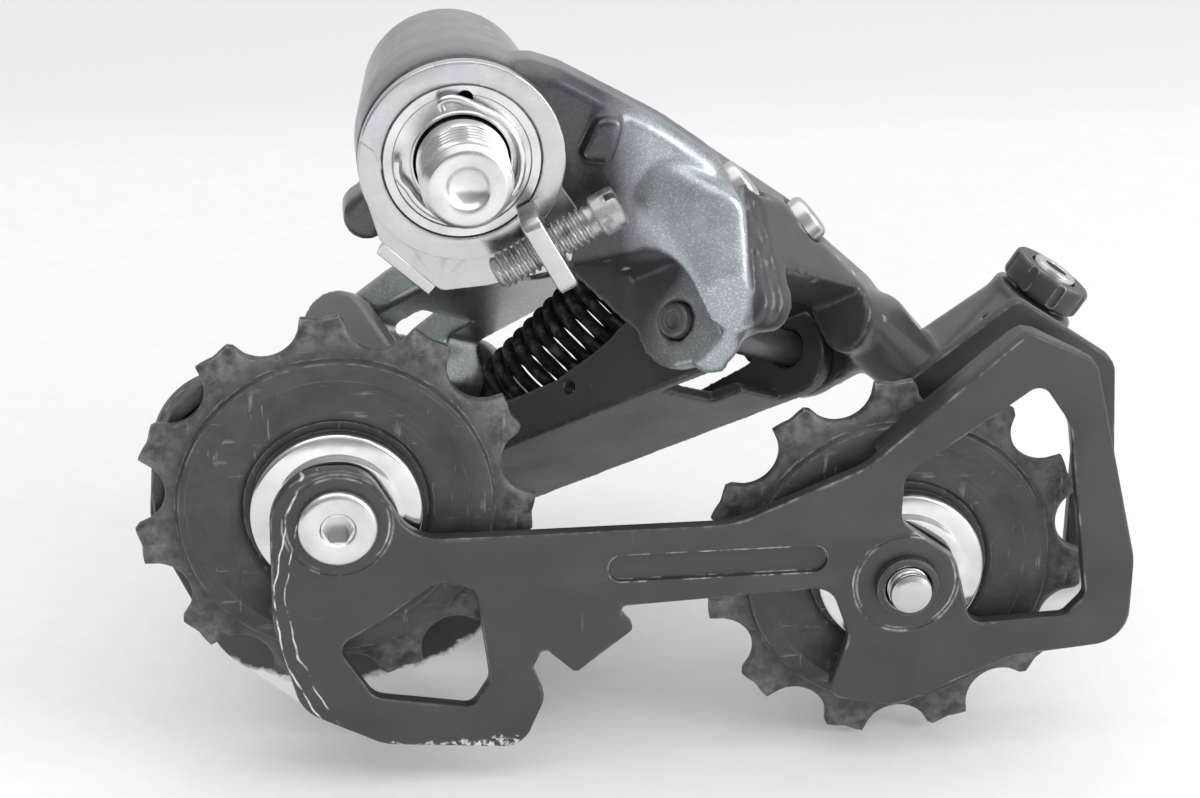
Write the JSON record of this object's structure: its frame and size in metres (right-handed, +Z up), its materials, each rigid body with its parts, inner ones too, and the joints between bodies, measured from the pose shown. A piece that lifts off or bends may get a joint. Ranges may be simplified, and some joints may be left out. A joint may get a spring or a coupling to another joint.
{
  "type": "rear derailleur",
  "caption": "Bicycle rear derailleur: slant parallelogram with a sprung cage, toothed pulleys, limit and tension screws and a mounting bolt.",
  "frame": {"origin": "on the mounting bolt's axis, in the plane where the stop plate meets the frame's hanger", "axes": "+X towards the back of the bicycle, +Y outboard along the mounting bolt towards its head, +Z up"},
  "size_m": [0.1133, 0.0683, 0.081],
  "materials": {
    "anthracite": "die-cast alloy under a metallic anthracite paint",
    "black_paint": "pressed steel under satin black paint",
    "black_resin": "moulded black resin",
    "zinc_plate": "bright zinc plate",
    "dark_steel": "oiled dark spring steel"
  },
  "bodies": {
    "b_knuckle": {"b_knuckle": "anthracite", "b_washer": "zinc_plate", "b_spring": "dark_steel", "pin_inner_b": "zinc_plate", "pin_outer_b": "zinc_plate", "return_spring": "dark_steel"},
    "mounting_bolt": {"mounting_bolt": "zinc_plate", "bolt_clip": "zinc_plate"},
    "stop_plate": {"stop_plate": "zinc_plate"},
    "b_tension_screw": {"b_tension_screw": "dark_steel"},
    "high_limit_screw": {"high_limit_screw": "zinc_plate"},
    "low_limit_screw": {"low_limit_screw": "zinc_plate"},
    "barrel_adjuster": {"barrel_adjuster": "black_resin", "casing_ferrule": "zinc_plate"},
    "outer_link": {"outer_link": "anthracite", "cable_clamp_plate": "zinc_plate"},
    "cable_clamp_bolt": {"cable_clamp_bolt": "zinc_plate"},
    "inner_link": {"inner_link": "black_paint"},
    "p_knuckle": {"p_knuckle": "anthracite", "pin_inner_p": "zinc_plate", "pin_outer_p": "zinc_plate", "p_spring": "dark_steel", "p_cap": "zinc_plate"},
    "cage": {"cage_inner_plate": "black_paint", "cage_outer_plate": "black_paint", "p_axle": "zinc_plate", "p_seal": "black_resin", "cage_stop_pin": "zinc_plate", "guide_bolt": "zinc_plate", "guide_bushing": "zinc_plate", "guide_cap_inner": "zinc_plate", "guide_cap_outer": "zinc_plate", "tension_bolt": "zinc_plate", "tension_bushing": "zinc_plate", "tension_cap_inner": "zinc_plate", "tension_cap_outer": "zinc_plate", "tension_collar": "black_paint"},
    "guide_pulley": {"guide_pulley": "black_resin"},
    "tension_pulley": {"tension_pulley": "black_resin"}
  },
  "joints": [
    {"name": "outer_link_hinge", "type": "hinge", "parent": "b_knuckle", "child": "outer_link", "pos_m": [0.01571, 0.01515, -0.01441], "axis": [-0.6601, -0.6201, 0.4241], "range_deg": [0, 65], "stiffness_Nm_per_rad": 0.25, "springref_deg": -91.67, "deforming": ["return_spring"]},
    {"name": "inner_link_hinge", "type": "hinge", "parent": "b_knuckle", "child": "inner_link", "pos_m": [0.0234, 0.003, -0.0202], "axis": [-0.6601, -0.6201, 0.4241], "range_deg": [0, 65]},
    {"name": "p_knuckle_hinge", "type": "hinge", "parent": "outer_link", "child": "p_knuckle", "pos_m": [-0.01398, 0.03322, -0.0342], "axis": [-0.6601, -0.6201, 0.4241], "range_deg": [-65, 0]},
    {"name": "cage_hinge", "type": "hinge", "parent": "p_knuckle", "child": "cage", "pos_m": [-0.0105, 0, -0.048], "axis": [0, 1, 0], "range_deg": [0, 110], "stiffness_Nm_per_rad": 0.12, "springref_deg": -114.59},
    {"name": "guide_pulley_spin", "type": "hinge", "parent": "cage", "child": "guide_pulley", "pos_m": [-0.0148, -0.0028, -0.0376], "axis": [0, 1, 0], "continuous": true},
    {"name": "tension_pulley_spin", "type": "hinge", "parent": "cage", "child": "tension_pulley", "pos_m": [0.048, -0.0028, -0.048], "axis": [0, 1, 0], "continuous": true},
    {"name": "mounting_bolt_turn", "type": "hinge", "parent": "b_knuckle", "child": "mounting_bolt", "pos_m": [0, 0, 0], "axis": [0, 1, 0], "continuous": true},
    {"name": "stop_plate_hinge", "type": "hinge", "parent": "b_knuckle", "child": "stop_plate", "pos_m": [0, 0, 0], "axis": [0, 1, 0], "range_deg": [-15, 0], "stiffness_Nm_per_rad": 0.1, "springref_deg": 57.3},
    {"name": "b_tension_screw_slide", "type": "slide", "parent": "stop_plate", "child": "b_tension_screw", "axis": [0.876, 0, 0.4822], "range_m": [-0.0022, 0.004]},
    {"name": "high_limit_screw_slide", "type": "slide", "parent": "b_knuckle", "child": "high_limit_screw", "axis": [0.796, 0.0995, 0.597], "range_m": [0, 0.003]},
    {"name": "low_limit_screw_slide", "type": "slide", "parent": "b_knuckle", "child": "low_limit_screw", "axis": [0.796, 0.0995, 0.597], "range_m": [0, 0.003]},
    {"name": "barrel_adjuster_slide", "type": "slide", "parent": "b_knuckle", "child": "barrel_adjuster", "axis": [0.5428, -0.0302, 0.8393], "range_m": [0, 0.004]},
    {"name": "cable_clamp_bolt_slide", "type": "slide", "parent": "outer_link", "child": "cable_clamp_bolt", "axis": [-0.1153, 0.6414, 0.7585], "range_m": [0, 0.003]}
  ],
  "couplings": [
    {"joint": "inner_link_hinge", "follows": "outer_link_hinge", "ratio": 1},
    {"joint": "p_knuckle_hinge", "follows": "outer_link_hinge", "ratio": -1}
  ]
}
